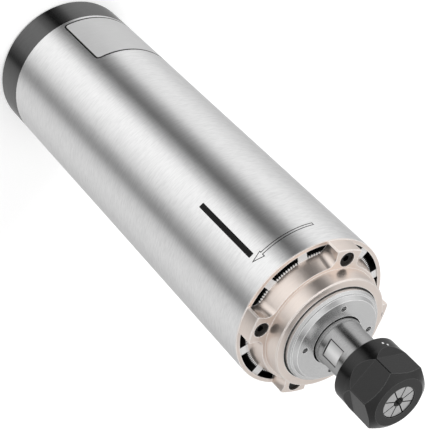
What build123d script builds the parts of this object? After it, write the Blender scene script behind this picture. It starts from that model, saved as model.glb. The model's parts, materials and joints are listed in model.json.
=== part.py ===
from build123d import *
import math
import os

# A round air-cooled router spindle. It stands on its rear rim: +Z runs along the
# shaft to the nose, and the origin is the centre of the rear face. Millimetres.

# Clearances
slip = 0.02          # between pieces of one body that fit each other
running = 0.1        # radial, between pieces that turn or slide past each other
end_play = 0.2       # axial, between pieces that turn past each other
tip_room = 2.0       # between the tip of a screw or collet and the floor of its hole
overcut = 1.0        # how far a cutter or a rooted rib runs past the face it meets
hexagon_sides = 6    # of a key socket, a nut and the collet nut
drill_point = 0.5    # depth of a drilled hole's end cone, as a share of its radius

# Body
body_radius = 40.0
shell_wall = 1.2
shell_length = 223.0
cap_length = 18.4
seat = cap_length + shell_length
shell_bore = body_radius - shell_wall

# Both ends have openings on the axes and screws midway between them
screws = 4
screw_angle = 180 / screws

# Rear cap
cap_wall = 3.5
cap_edge = 0.8
cap_recess = 9.5
cap_plate = 3.0
cap_spigot = 6.0
inlet_inner_radius = 20.0
inlet_outer_radius = 30.5
inlet_half_angle = 26.0
inlet_corner = 2.0
cap_plate_top = cap_recess + cap_plate
cap_bore = body_radius - cap_wall

# Power socket in the rear cap
socket_barrel_radius = 8.0
socket_neck_radius = 7.4
socket_bore = 6.2
socket_flange_radius = 10.5
socket_flange = 1.5
socket_front = 1.0
socket_face_recess = 1.5
socket_depth = 16.5
socket_nut_across_flats = 18.0
socket_nut_height = 3.0
contact_radius = 0.95
contact_bore = 0.5
contact_bore_depth = 5.0
contact_offset = 2.5
contact_tail = 19.0

# Rear cap screws, which reach through the posts into the core
rear_screw_inset = 7.0
rear_screw_circle = body_radius - rear_screw_inset
rear_screw_radius = 1.5
rear_screw_head_radius = 2.75
rear_screw_head_height = 3.0
rear_screw_key = 1.25

# Fan
fan_back = 30.0
fan_hub_radius = 9.0
fan_radius = 27.0
fan_height = 13.0
fan_plate = 1.5
fan_blades = 9
fan_blade_wall = 1.6
fan_blade_lean = 24.0
fan_screw_radius = 2.0
fan_screw_length = 12.0
fan_screw_head_radius = 3.5
fan_screw_head_height = 3.0
fan_screw_key = 1.5
fan_washer_radius = 7.0
fan_washer = 1.0

# Rear bearing housing, an end bell with four posts
bell_rear = 47.0
bell_lip = 1.5
bell_lip_radius = 13.0
bell_hub_radius = 19.5
bell_web_rear = 53.0
bell_web = 6.0
bell_rim_inset = 0.4
bell_spigot = 4.0
bell_spigot_wall = 2.4
bell_front_reach = 10.5
post_radius = 3.4
lead_hole_radius = 3.6
lead_hole_circle = 23.4
lead_angle = 90.0
core_rear = bell_web_rear + bell_web

# Rear bearing pair, 15 x 32 x 9
rear_bore = 7.5
rear_outer = 16.0
rear_width = 9.0
rear_race_wall = 2.4
rear_pitch = 11.75
rear_ball = 2.3
rear_balls = 8
rear_pair_gap = 0.2
spring_height = 2.5
spring_wall = 0.7
rear_bearing_start = bell_rear + bell_lip + spring_height

# Front bearing pair, 25 x 47 x 12
front_bore = 12.5
front_outer = 23.5
front_width = 12.0
front_race_wall = 3.6
front_pitch = 18.0
front_ball = 3.0
front_balls = 9
spacer_width = 6.0
front_bearing_reach = 8.0
front_bearing_end = seat + front_bearing_reach
front_bearing_start = front_bearing_end - 2 * front_width - spacer_width
cage_wall = 1.8
cage_share = 0.75

# Stator and rotor
stator_radius = 28.0
stator_bore = 16.4
core_bore = stator_radius + slip
spigot_radius = core_bore - slip
stator_start = 88.0
stator_length = 90.0
slots = 18
slot_width = 2.4
slot_mouth = 1.0
slot_inner_radius = 17.8
slot_outer_radius = 24.0
coil_clearance = 0.3
coil_overhang = 12.0
coil_end_gap = 0.4
air_gap = 0.5
rotor_radius = stator_bore - air_gap
end_ring = 6.0
end_ring_wall = 4.0
stator_end = stator_start + stator_length

# Cooling core: a tube with saw-tooth fins, thick ribs and screw bosses
channel_depth = 5.4
core_root_radius = shell_bore - channel_depth
fin_height = 1.9
fin_foot = 0.3
fin_width = 1.25
fin_angle = 2.25
fins_per_channel = 9
ribs = 12
rib_pitch = 360 / ribs
rib_width = 5.2
boss_radius = 3.7
tapped_depth = 14.0

# Front flange
ring_inset = 0.1
ring_radius = body_radius - ring_inset
ring_thickness = 1.2
window_inset = 0.8
window_outer_radius = shell_bore - window_inset
window_floor_gap = 0.2
scoop_base_radius = core_root_radius + window_floor_gap
lobe_inset = 0.4
lobe_radius = body_radius - lobe_inset
lobe_height = 8.7
lobe_edge = 0.3
lobe_side_edge = 0.6
scoop_half_angle = 34.7
scoop_corner = 5.0
scoop_flare = 9.0
scoop_overrun = 6.0
scoop_reach = body_radius + scoop_overrun
hub_base_radius = 30.0
hub_ledge = 1.5
scoop_front_radius = hub_base_radius + hub_ledge
hub_rim_radius = 29.4
hub_height = 16.4
hub_rim = 0.5
hub_bore = 25.4
cap_pilot = 1.2
hub_bore_floor = front_bearing_reach + cap_pilot
barrel_length = 30.0
barrel_lip_radius = 21.5
flange_screw_inset = 5.5
flange_screw_circle = body_radius - flange_screw_inset
flange_screw_radius = 2.0
flange_screw_head_radius = 3.5
flange_screw_head_height = 4.0
flange_screw_key = 1.5
counterbore_radius = 3.8
counterbore_depth = 5.0
lobe_front = seat + lobe_height
hub_front = seat + hub_height

# Bearing cap, the disc with the pin-spanner holes
seal_width = 0.7
disc_radius = hub_bore - seal_width
disc_edge_height = 18.2
disc_chamfer = 1.0
disc_land = 0.9
disc_step = 1.3
disc_height = 21.3
disc_bore = 13.0
disc_thread_top = 13.6
disc_skirt_bore = 20.6
spanner_circle = 17.6
spanner_hole = 1.5
spanner_depth = 3.0
spanner_holes = 4
spanner_angle = -32.0
seal_top = 15.9

# Shaft
shaft_tail_radius = 5.0
shaft_tail_end = fan_back + end_play
rear_shoulder_radius = 9.5
rear_shoulder = 2.5
shaft_radius = 11.0
lock_thread_radius = 12.0
lock_thread_length = 14.0
lock_nut_radius = 18.0
lock_nut_height = 8.4
lock_nut_notches = 4
lock_nut_notch = 4.0
front_shoulder_radius = 15.5
front_shoulder = 4.5
labyrinth_gap = 0.9
slinger_radius = disc_skirt_bore - labyrinth_gap
slinger_gap = 0.3
slinger_width = 4.0
disc_wall_low = front_bearing_end + front_shoulder + labyrinth_gap
collar_radius = 12.4
collar_top = 22.9
inner_collar_radius = 12.0
inner_collar_top = 24.6
neck_radius = 11.6
flat_across = 21.4
flat_low = 26.2
flat_high = 35.6
flat_angle = -51.5
nose_thread_start = 43.5
nose_thread_radius = 12.45
nose_chamfer = 0.5
nose_top = 57.9

# Collet and its nut, measured back from the collet's face
nose_reach = 65.1
collet_face = seat + nose_reach
collet_length = 31.5
collet_front_radius = 8.1
collet_head_radius = 9.5
collet_head = 2.9
collet_groove_radius = 8.6
collet_groove_end = 4.7
collet_radius = 10.5
collet_groove_slope = 0.8
collet_taper_start = 6.0
collet_taper = 8.0
collet_bore = 2.5
collet_grip = 16.0      # the length of bore that holds the tool
collet_relief = 3.5     # the wider bore behind it
collet_slots = 8
collet_slot = 0.6
collet_front_slot_depth = 26.0
collet_rear_slot_stop = 9.0
collet_slot_angle = -4.0
socket_relief_radius = 6.0
socket_relief_depth = 48.0
nut_length = 23.5
nut_overhang = 0.4
nut_front = collet_face + nut_overhang
nut_rear = nut_front - nut_length
nut_collar_radius = 16.75
nut_rear_chamfer = 0.4
nut_corner_radius = 17.15
nut_across_flats = 30.0
nut_cone_height = 3.1
nut_shoulder = nut_front - nut_cone_height
nut_flat_length = 10.0
nut_flat_start = nut_shoulder - nut_flat_length
nut_runout = 4.0
nut_face_radius = 12.6
nut_mouth_radius = 8.35
nut_cone_half_angle = 30.0
nut_lip_radius = 9.1
nut_lip_low = 4.5
nut_lip_high = 3.1
nut_chamber_radius = 11.2
nut_chamber_depth = 5.4
nut_relief_radius = 12.9
nut_relief_depth = 9.0
nut_flat_angle = -72.0

# Motor leads, from the socket to the windings
lead_radius = 0.8
lead_levels = (20.4, 22.6, 20.4)
lead_spread = 9.0
lead_fan_gap = 4.0
lead_riser_radius = fan_radius + lead_fan_gap
lead_turn_height = 44.5
lead_first_bend = 0.9
lead_bend = 3.0


def polar(radius, angle):
    turn = math.radians(angle)
    return (radius * math.cos(turn), radius * math.sin(turn))


def turned(*points):
    """The half section of a turned piece, as (radius, height) points."""
    with BuildSketch(Plane.XZ) as section:
        with BuildLine():
            Polyline(*points, close=True)
        make_face()
    return section.sketch


def ring(height, outer, inner=0.0):
    """A round face at a height, with a round hole if inner is given."""
    with BuildSketch(Plane.XY.offset(height)) as face:
        Circle(outer)
        if inner > 0:
            Circle(inner, mode=Mode.SUBTRACT)
    return face.sketch


def sector(height, inner, outer, half_angle, corner):
    """A ring sector about +X with its two inner corners rounded."""
    with BuildSketch(Plane.XY.offset(height)) as face:
        with BuildLine():
            CenterArc((0, 0), inner, -half_angle, 2 * half_angle)
            Line(polar(inner, half_angle), polar(outer, half_angle))
            CenterArc((0, 0), outer, -half_angle, 2 * half_angle)
            Line(polar(inner, -half_angle), polar(outer, -half_angle))
        make_face()
        fillet(face.vertices().sort_by(SortBy.DISTANCE)[0:2], radius=corner)
    return face.sketch


def scoop_outline(height, inner):
    """A scoop seen from the front: two rounded corners, and sides that flare at the lobe edges."""
    flare_radius = lobe_radius - lobe_side_edge
    flare_angle = scoop_half_angle + scoop_flare
    with BuildSketch(Plane.XY.offset(height)) as face:
        with BuildLine():
            CenterArc((0, 0), inner, -scoop_half_angle, 2 * scoop_half_angle)
            CenterArc((0, 0), scoop_reach, -flare_angle, 2 * flare_angle)
            for side in (-1, 1):
                Polyline(
                    polar(inner, side * scoop_half_angle),
                    polar(flare_radius, side * scoop_half_angle),
                    polar(scoop_reach, side * flare_angle),
                )
        make_face()
        fillet(face.vertices().sort_by(SortBy.DISTANCE)[0:2], radius=scoop_corner)
    return face.sketch


def race(inner, outer, pitch, ball, low, width):
    """The half section of one bearing race with its ball groove."""
    with BuildSketch(Plane.XZ) as section:
        with Locations(((inner + outer) / 2, low + width / 2)):
            Rectangle(outer - inner, width)
        with Locations((pitch, low + width / 2)):
            Circle(ball + running, mode=Mode.SUBTRACT)
    return section.sketch


os.makedirs("parts", exist_ok=True)

# Rear cap: a cup with a recessed end wall, four air inlets and a hole for the socket
with BuildPart() as rear_cap:
    revolve(
        turned(
            (socket_neck_radius + slip, cap_recess),
            (cap_bore, cap_recess),
            (cap_bore, 0),
            (body_radius - cap_edge, 0),
            (body_radius, cap_edge),
            (body_radius, cap_length),
            (shell_bore - slip, cap_length),
            (shell_bore - slip, cap_length + cap_spigot),
            (cap_bore, cap_length + cap_spigot),
            (cap_bore, cap_plate_top),
            (socket_neck_radius + slip, cap_plate_top),
        ),
        axis=Axis.Z,
    )
    inlet = sector(cap_recess, inlet_inner_radius, inlet_outer_radius, inlet_half_angle, inlet_corner)
    with PolarLocations(0, screws):
        add(extrude(inlet, amount=cap_plate, mode=Mode.PRIVATE), mode=Mode.SUBTRACT)
    with Locations(Plane.XY.offset(cap_plate_top)):
        with PolarLocations(rear_screw_circle, screws, start_angle=screw_angle):
            Hole(rear_screw_radius + slip, depth=cap_plate)
rear_cap.part.label = "rear_cap"

# Socket shell: barrel for the plug's coupling nut, flange and threaded neck
with BuildPart() as power_socket_shell:
    revolve(
        turned(
            (socket_bore, socket_front),
            (socket_barrel_radius, socket_front),
            (socket_barrel_radius, cap_recess - socket_flange),
            (socket_flange_radius, cap_recess - socket_flange),
            (socket_flange_radius, cap_recess),
            (socket_neck_radius, cap_recess),
            (socket_neck_radius, socket_depth),
            (socket_bore, socket_depth),
        ),
        axis=Axis.Z,
    )
power_socket_shell.part.label = "power_socket_shell"

with BuildPart() as power_socket_insert:
    extrude(
        ring(socket_front + socket_face_recess, socket_bore - slip),
        amount=socket_depth - socket_front - socket_face_recess,
    )
    with Locations(Plane.XY.offset(socket_depth)):
        with GridLocations(2 * contact_offset, 2 * contact_offset, 2, 2):
            Hole(contact_radius + slip)
power_socket_insert.part.label = "power_socket_insert"

with BuildPart() as power_socket_contacts:
    contact_start = socket_front + socket_face_recess
    with BuildSketch(Plane.XY.offset(contact_start)):
        with GridLocations(2 * contact_offset, 2 * contact_offset, 2, 2):
            Circle(contact_radius)
    extrude(amount=contact_tail - contact_start)
    with BuildSketch(Plane.XY.offset(contact_start)):
        with GridLocations(2 * contact_offset, 2 * contact_offset, 2, 2):
            Circle(contact_bore)
    extrude(amount=contact_bore_depth, mode=Mode.SUBTRACT)
power_socket_contacts.part.label = "power_socket_contacts"

with BuildPart() as power_socket_nut:
    with BuildSketch(Plane.XY.offset(cap_plate_top)):
        RegularPolygon(socket_nut_across_flats / 2, hexagon_sides, major_radius=False)
        Circle(socket_neck_radius + slip, mode=Mode.SUBTRACT)
    extrude(amount=socket_nut_height)
power_socket_nut.part.label = "power_socket_nut"

with BuildPart() as rear_cap_screws:
    with BuildSketch(Plane.XY.offset(cap_recess)):
        with PolarLocations(rear_screw_circle, screws, start_angle=screw_angle):
            Circle(rear_screw_radius)
    extrude(amount=core_rear + tapped_depth - tip_room - cap_recess)
    with BuildSketch(Plane.XY.offset(cap_recess - rear_screw_head_height)):
        with PolarLocations(rear_screw_circle, screws, start_angle=screw_angle):
            Circle(rear_screw_head_radius)
            RegularPolygon(rear_screw_key, hexagon_sides, mode=Mode.SUBTRACT)
    extrude(amount=rear_screw_head_height)
rear_cap_screws.part.label = "rear_cap_screws"

# Housing shell: a plain tube between the rear cap and the front flange
with BuildPart() as housing_shell:
    extrude(ring(cap_length, body_radius, shell_bore), amount=shell_length)
housing_shell.part.label = "housing_shell"

# Rear bearing housing: hub, web, rim that seats on the core, and four posts
with BuildPart() as rear_bearing_housing:
    bell_rim_radius = core_root_radius - bell_rim_inset
    revolve(
        turned(
            (bell_lip_radius, bell_rear),
            (bell_hub_radius, bell_rear),
            (bell_hub_radius, bell_web_rear),
            (bell_rim_radius, bell_web_rear),
            (bell_rim_radius, core_rear),
            (spigot_radius, core_rear),
            (spigot_radius, core_rear + bell_spigot),
            (spigot_radius - bell_spigot_wall, core_rear + bell_spigot),
            (spigot_radius - bell_spigot_wall, core_rear),
            (bell_hub_radius, core_rear),
            (bell_hub_radius, core_rear + bell_front_reach),
            (rear_outer + slip, core_rear + bell_front_reach),
            (rear_outer + slip, bell_rear + bell_lip),
            (bell_lip_radius, bell_rear + bell_lip),
        ),
        axis=Axis.Z,
    )
    with BuildSketch(Plane.XY.offset(cap_plate_top)):
        with PolarLocations(rear_screw_circle, screws, start_angle=screw_angle):
            Circle(post_radius)
    extrude(amount=core_rear - cap_plate_top)
    with Locations(Plane.XY.offset(core_rear)):
        with PolarLocations(rear_screw_circle, screws, start_angle=screw_angle):
            Hole(rear_screw_radius + slip)
    with Locations(Plane.XY.offset(core_rear)):
        with PolarLocations(lead_hole_circle, 1, start_angle=lead_angle):
            Hole(lead_hole_radius, depth=bell_web)
rear_bearing_housing.part.label = "rear_bearing_housing"

# Rear bearing pair and its preload spring
rear_starts = (rear_bearing_start, rear_bearing_start + rear_width + rear_pair_gap)
with BuildPart() as rear_outer_races:
    for start in rear_starts:
        revolve(
            race(rear_outer - rear_race_wall, rear_outer, rear_pitch, rear_ball, start, rear_width),
            axis=Axis.Z,
        )
rear_outer_races.part.label = "rear_outer_races"

with BuildPart() as rear_inner_races:
    for start in rear_starts:
        revolve(
            race(rear_bore + slip, rear_bore + rear_race_wall, rear_pitch, rear_ball, start, rear_width),
            axis=Axis.Z,
        )
rear_inner_races.part.label = "rear_inner_races"

with BuildPart() as rear_ball_cage:
    for start in rear_starts:
        middle = start + rear_width / 2
        cage_width = cage_share * rear_width
        extrude(
            ring(middle - cage_width / 2, rear_pitch + cage_wall / 2, rear_pitch - cage_wall / 2),
            amount=cage_width,
        )
        with Locations(Plane.XY.offset(middle)):
            with PolarLocations(rear_pitch, rear_balls):
                Sphere(rear_ball)
rear_ball_cage.part.label = "rear_ball_cage"

with BuildPart() as preload_spring:
    spring_low = bell_rear + bell_lip + slip
    spring_rise = spring_height - spring_wall - 2 * slip
    spring_inner = bell_lip_radius + end_play
    spring_outer = rear_outer - end_play
    revolve(
        turned(
            (spring_inner, spring_low),
            (spring_outer, spring_low + spring_rise),
            (spring_outer, spring_low + spring_rise + spring_wall),
            (spring_inner, spring_low + spring_wall),
        ),
        axis=Axis.Z,
    )
preload_spring.part.label = "preload_spring"

# Cooling core: fins and ribs run its whole length, with a boss under each lobe
with BuildPart() as cooling_core:
    rib_root = core_root_radius - overcut
    fin_spread = fin_angle * (fins_per_channel - 1)
    with BuildSketch(Plane.XY.offset(core_rear)):
        Circle(core_root_radius)
        with PolarLocations((rib_root + shell_bore) / 2, ribs, start_angle=rib_pitch / 2):
            Rectangle(shell_bore - rib_root, rib_width)
        with PolarLocations(flange_screw_circle, screws, start_angle=screw_angle):
            Circle(boss_radius)
        for channel in range(ribs):
            with PolarLocations(
                core_root_radius - fin_foot,
                fins_per_channel,
                start_angle=channel * rib_pitch - fin_spread / 2,
                angular_range=fin_spread,
                endpoint=True,
            ):
                Polygon(
                    (0, -fin_width / 2),
                    (fin_height + fin_foot, 0),
                    (0, fin_width / 2),
                    align=None,
                )
        Circle(shell_bore - slip, mode=Mode.INTERSECT)
        Circle(core_bore, mode=Mode.SUBTRACT)
    extrude(amount=seat - core_rear)
    with Locations(Plane.XY.offset(seat)):
        with PolarLocations(flange_screw_circle, screws, start_angle=screw_angle):
            Hole(flange_screw_radius + slip, depth=tapped_depth)
    with Locations(Plane.XY.offset(core_rear + tapped_depth)):
        with PolarLocations(rear_screw_circle, screws, start_angle=screw_angle):
            Hole(rear_screw_radius + slip, depth=tapped_depth)
cooling_core.part.label = "cooling_core"

# Stator: a slotted stack and its windings, which fill the slots and join at both ends
with BuildPart() as stator_core:
    with BuildSketch(Plane.XY.offset(stator_start)):
        Circle(stator_radius)
        Circle(stator_bore, mode=Mode.SUBTRACT)
        with PolarLocations((slot_inner_radius + slot_outer_radius) / 2, slots):
            Rectangle(slot_outer_radius - slot_inner_radius, slot_width, mode=Mode.SUBTRACT)
        with PolarLocations((stator_bore + slot_inner_radius) / 2, slots):
            Rectangle(slot_inner_radius - stator_bore + overcut, slot_mouth, mode=Mode.SUBTRACT)
    extrude(amount=stator_length)
stator_core.part.label = "stator_core"

with BuildPart() as stator_windings:
    coil_inner = slot_inner_radius + coil_clearance
    coil_outer = slot_outer_radius - coil_clearance
    for low in (stator_start - coil_overhang, stator_end + coil_end_gap):
        extrude(ring(low, coil_outer, coil_inner), amount=coil_overhang - coil_end_gap)
    with BuildSketch(Plane.XY.offset(stator_start - coil_end_gap)):
        with PolarLocations((coil_inner + coil_outer) / 2, slots):
            Rectangle(coil_outer - coil_inner - 2 * slip, slot_width - 2 * coil_clearance)
    extrude(amount=stator_length + 2 * coil_end_gap)
stator_windings.part.label = "stator_windings"

# Motor leads: three wires from the socket's contacts, up past the fan and through the web
with BuildPart() as motor_leads:
    lead_corners = (
        (contact_offset, contact_offset),
        (contact_offset, -contact_offset),
        (-contact_offset, contact_offset),
    )
    lead_end = stator_start - coil_overhang
    for index, (corner, level) in enumerate(zip(lead_corners, lead_levels)):
        azimuth = lead_angle + (index - 1) * lead_spread
        side = (index - 1) * 2 * (lead_radius + end_play)
        riser = polar(lead_riser_radius, azimuth)
        inward = (-side, lead_hole_circle)
        with BuildLine() as route:
            FilletPolyline(
                (*corner, contact_tail),
                (*corner, level),
                (*riser, level),
                (*riser, lead_turn_height),
                (*inward, lead_turn_height),
                (*inward, lead_end),
                radius=(lead_first_bend, lead_bend, lead_bend, lead_bend),
            )
        with BuildSketch(Plane(origin=route.line @ 0, z_dir=route.line % 0)):
            Circle(lead_radius)
        sweep(path=route.line)
motor_leads.part.label = "motor_leads"

# Front flange: bearing barrel, plate with four windows, scooped lobes and raised hub
with BuildPart() as scoop_cutter:
    loft(
        [
            scoop_outline(seat + ring_thickness, scoop_base_radius),
            scoop_outline(lobe_front, scoop_front_radius),
        ]
    )

with BuildPart() as window_cutter:
    extrude(scoop_outline(seat, scoop_base_radius), amount=ring_thickness)
    extrude(ring(seat, window_outer_radius), amount=ring_thickness, mode=Mode.INTERSECT)

with BuildPart() as front_flange:
    revolve(
        turned(
            (barrel_lip_radius, seat - barrel_length),
            (spigot_radius, seat - barrel_length),
            (spigot_radius, seat),
            (lobe_radius, seat),
            (lobe_radius, lobe_front - lobe_edge),
            (lobe_radius - lobe_edge, lobe_front),
            (hub_base_radius, lobe_front),
            (hub_rim_radius, hub_front - hub_rim),
            (hub_rim_radius - hub_rim, hub_front),
            (hub_bore, hub_front),
            (hub_bore, seat + hub_bore_floor),
            (front_outer + slip, seat + hub_bore_floor),
            (front_outer + slip, front_bearing_start),
            (barrel_lip_radius, front_bearing_start),
        ),
        axis=Axis.Z,
    )
    with PolarLocations(0, screws):
        add(scoop_cutter.part, mode=Mode.SUBTRACT)
    extrude(ring(seat, ring_radius, lobe_radius - overcut), amount=ring_thickness)
    with PolarLocations(0, screws):
        add(window_cutter.part, mode=Mode.SUBTRACT)
    with Locations(Plane.XY.offset(lobe_front)):
        with PolarLocations(flange_screw_circle, screws, start_angle=screw_angle):
            CounterBoreHole(
                flange_screw_radius + slip,
                counterbore_radius,
                counterbore_depth,
                depth=lobe_height,
            )
front_flange.part.label = "front_flange"

with BuildPart() as flange_screws:
    head_seat = lobe_front - counterbore_depth
    screw_tip = seat - tapped_depth + tip_room
    with BuildSketch(Plane.XY.offset(screw_tip)):
        with PolarLocations(flange_screw_circle, screws, start_angle=screw_angle):
            Circle(flange_screw_radius)
    extrude(amount=head_seat - screw_tip)
    with BuildSketch(Plane.XY.offset(head_seat)):
        with PolarLocations(flange_screw_circle, screws, start_angle=screw_angle):
            Circle(flange_screw_head_radius)
    extrude(amount=flange_screw_head_height)
    with BuildSketch(Plane.XY.offset(head_seat + flange_screw_head_height / 2)):
        with PolarLocations(flange_screw_circle, screws, start_angle=screw_angle):
            RegularPolygon(flange_screw_key, hexagon_sides, major_radius=False)
    extrude(amount=flange_screw_head_height, mode=Mode.SUBTRACT)
flange_screws.part.label = "flange_screws"

# Front bearing pair with matched spacers
front_starts = (front_bearing_start, front_bearing_start + front_width + spacer_width)
with BuildPart() as front_outer_races:
    for start in front_starts:
        revolve(
            race(
                front_outer - front_race_wall,
                front_outer,
                front_pitch,
                front_ball,
                start,
                front_width,
            ),
            axis=Axis.Z,
        )
front_outer_races.part.label = "front_outer_races"

with BuildPart() as front_inner_races:
    for start in front_starts:
        revolve(
            race(
                front_bore + slip,
                front_bore + front_race_wall,
                front_pitch,
                front_ball,
                start,
                front_width,
            ),
            axis=Axis.Z,
        )
front_inner_races.part.label = "front_inner_races"

with BuildPart() as front_ball_cage:
    for start in front_starts:
        middle = start + front_width / 2
        cage_width = cage_share * front_width
        extrude(
            ring(middle - cage_width / 2, front_pitch + cage_wall / 2, front_pitch - cage_wall / 2),
            amount=cage_width,
        )
        with Locations(Plane.XY.offset(middle)):
            with PolarLocations(front_pitch, front_balls):
                Sphere(front_ball)
front_ball_cage.part.label = "front_ball_cage"

with BuildPart() as outer_spacer:
    extrude(
        ring(front_bearing_start + front_width, front_outer, front_outer - front_race_wall),
        amount=spacer_width,
    )
outer_spacer.part.label = "outer_spacer"

with BuildPart() as inner_spacer:
    extrude(
        ring(front_bearing_start + front_width, front_bore + front_race_wall, front_bore + slip),
        amount=spacer_width,
    )
inner_spacer.part.label = "inner_spacer"

# Bearing cap: screws into the hub and holds the outer races, with a seal ring round it
with BuildPart() as bearing_cap:
    revolve(
        turned(
            (disc_skirt_bore, front_bearing_end),
            (front_outer - running, front_bearing_end),
            (front_outer - running, seat + hub_bore_floor),
            (hub_bore - slip, seat + hub_bore_floor),
            (hub_bore - slip, seat + disc_thread_top),
            (disc_radius, seat + disc_thread_top),
            (disc_radius, seat + disc_edge_height),
            (disc_radius - disc_chamfer, seat + disc_edge_height + disc_chamfer),
            (disc_radius - disc_chamfer - disc_land, seat + disc_edge_height + disc_chamfer),
            (disc_radius - disc_chamfer - disc_land - disc_step, seat + disc_height),
            (disc_bore, seat + disc_height),
            (disc_bore, disc_wall_low),
            (disc_skirt_bore, disc_wall_low),
        ),
        axis=Axis.Z,
    )
    with Locations(Plane.XY.offset(seat + disc_height)):
        with PolarLocations(spanner_circle, spanner_holes, start_angle=spanner_angle):
            Hole(spanner_hole, depth=spanner_depth)
bearing_cap.part.label = "bearing_cap"

with BuildPart() as cap_seal:
    extrude(
        ring(seat + disc_thread_top, hub_bore - slip, disc_radius + slip),
        amount=seal_top - disc_thread_top,
    )
cap_seal.part.label = "cap_seal"

# Shaft: tail, bearing seats, shoulders, nose with spanner flats, and the collet's taper
taper_slope = math.tan(math.radians(collet_taper))
shaft_nose = seat + nose_top
mouth_depth = collet_face - shaft_nose
mouth_radius = collet_radius - taper_slope * (mouth_depth - collet_taper_start) + running
socket_floor = collet_length + tip_room
socket_floor_radius = collet_radius - taper_slope * (socket_floor - collet_taper_start) + running
with BuildPart() as spindle_shaft:
    revolve(
        turned(
            (0, shaft_tail_end),
            (shaft_tail_radius, shaft_tail_end),
            (shaft_tail_radius, rear_bearing_start - end_play),
            (rear_bore, rear_bearing_start - end_play),
            (rear_bore, rear_starts[1] + rear_width + slip),
            (rear_shoulder_radius, rear_starts[1] + rear_width + slip),
            (rear_shoulder_radius, rear_starts[1] + rear_width + rear_shoulder),
            (shaft_radius, rear_starts[1] + rear_width + rear_shoulder),
            (shaft_radius, front_bearing_start - lock_thread_length),
            (lock_thread_radius, front_bearing_start - lock_thread_length),
            (lock_thread_radius, front_bearing_start),
            (front_bore, front_bearing_start),
            (front_bore, front_bearing_end + slip),
            (front_shoulder_radius, front_bearing_end + slip),
            (front_shoulder_radius, front_bearing_end + front_shoulder),
            (collar_radius, front_bearing_end + front_shoulder),
            (collar_radius, seat + collar_top),
            (inner_collar_radius, seat + collar_top),
            (inner_collar_radius, seat + inner_collar_top),
            (neck_radius, seat + inner_collar_top + inner_collar_radius - neck_radius),
            (neck_radius, seat + nose_thread_start),
            (nose_thread_radius, seat + nose_thread_start + nose_thread_radius - neck_radius),
            (nose_thread_radius, shaft_nose - nose_chamfer),
            (nose_thread_radius - nose_chamfer, shaft_nose),
            (mouth_radius, shaft_nose),
            (socket_floor_radius, collet_face - socket_floor),
            (socket_relief_radius, collet_face - socket_floor),
            (socket_relief_radius, collet_face - socket_relief_depth),
            (0, collet_face - socket_relief_depth - drill_point * socket_relief_radius),
        ),
        axis=Axis.Z,
    )
    with BuildSketch(Plane.XY.offset(seat + flat_low)):
        with PolarLocations(flat_across / 2 + neck_radius / 2, 2, start_angle=flat_angle):
            Rectangle(neck_radius, 2 * neck_radius)
    extrude(amount=flat_high - flat_low, mode=Mode.SUBTRACT)
    with Locations(Plane.XY.offset(fan_back + fan_screw_length + tip_room)):
        Hole(fan_screw_radius + slip, depth=fan_screw_length + tip_room)
spindle_shaft.part.label = "spindle_shaft"

with BuildPart() as dust_slinger:
    extrude(
        ring(front_bearing_end + slinger_gap, slinger_radius, front_shoulder_radius + slip),
        amount=slinger_width,
    )
dust_slinger.part.label = "dust_slinger"

with BuildPart() as shaft_lock_nut:
    lock_low = front_bearing_start - lock_nut_height - slip
    with BuildSketch(Plane.XY.offset(lock_low)):
        Circle(lock_nut_radius)
        Circle(lock_thread_radius + slip, mode=Mode.SUBTRACT)
        with PolarLocations(lock_nut_radius, lock_nut_notches):
            Rectangle(lock_nut_notch, lock_nut_notch, mode=Mode.SUBTRACT)
    extrude(amount=lock_nut_height)
shaft_lock_nut.part.label = "shaft_lock_nut"

with BuildPart() as rotor_core:
    extrude(ring(stator_start, rotor_radius, shaft_radius + slip), amount=stator_length)
rotor_core.part.label = "rotor_core"

with BuildPart() as rotor_end_rings:
    for low in (stator_start - end_ring, stator_end):
        extrude(ring(low, rotor_radius - air_gap, rotor_radius - end_ring_wall), amount=end_ring)
rotor_end_rings.part.label = "rotor_end_rings"

# Fan: hub, back plate and leaning blades, held by a screw and washer
with BuildPart() as cooling_fan:
    extrude(ring(fan_back, fan_hub_radius, shaft_tail_radius + slip), amount=fan_height)
    extrude(
        ring(fan_back + fan_height - fan_plate, fan_radius, fan_hub_radius - overcut),
        amount=fan_plate,
    )
    with BuildSketch(Plane.XY.offset(fan_back)):
        blade_length = fan_radius - fan_hub_radius - fan_blade_wall
        with PolarLocations(fan_hub_radius - fan_blade_wall / 2, fan_blades):
            with Locations(Location((0, 0, 0), (0, 0, fan_blade_lean))):
                with Locations((blade_length / 2, 0)):
                    Rectangle(blade_length, fan_blade_wall)
    extrude(amount=fan_height - fan_plate / 2)
cooling_fan.part.label = "cooling_fan"

with BuildPart() as fan_screw:
    washer_low = fan_back - fan_washer
    extrude(ring(washer_low, fan_washer_radius), amount=fan_washer)
    extrude(ring(fan_back, fan_screw_radius), amount=fan_screw_length)
    extrude(ring(washer_low - fan_screw_head_height, fan_screw_head_radius), amount=fan_screw_head_height)
    with BuildSketch(Plane.XY.offset(washer_low - fan_screw_head_height)):
        RegularPolygon(fan_screw_key, hexagon_sides, major_radius=False)
    extrude(amount=fan_screw_head_height / 2, mode=Mode.SUBTRACT)
fan_screw.part.label = "fan_screw"

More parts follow.
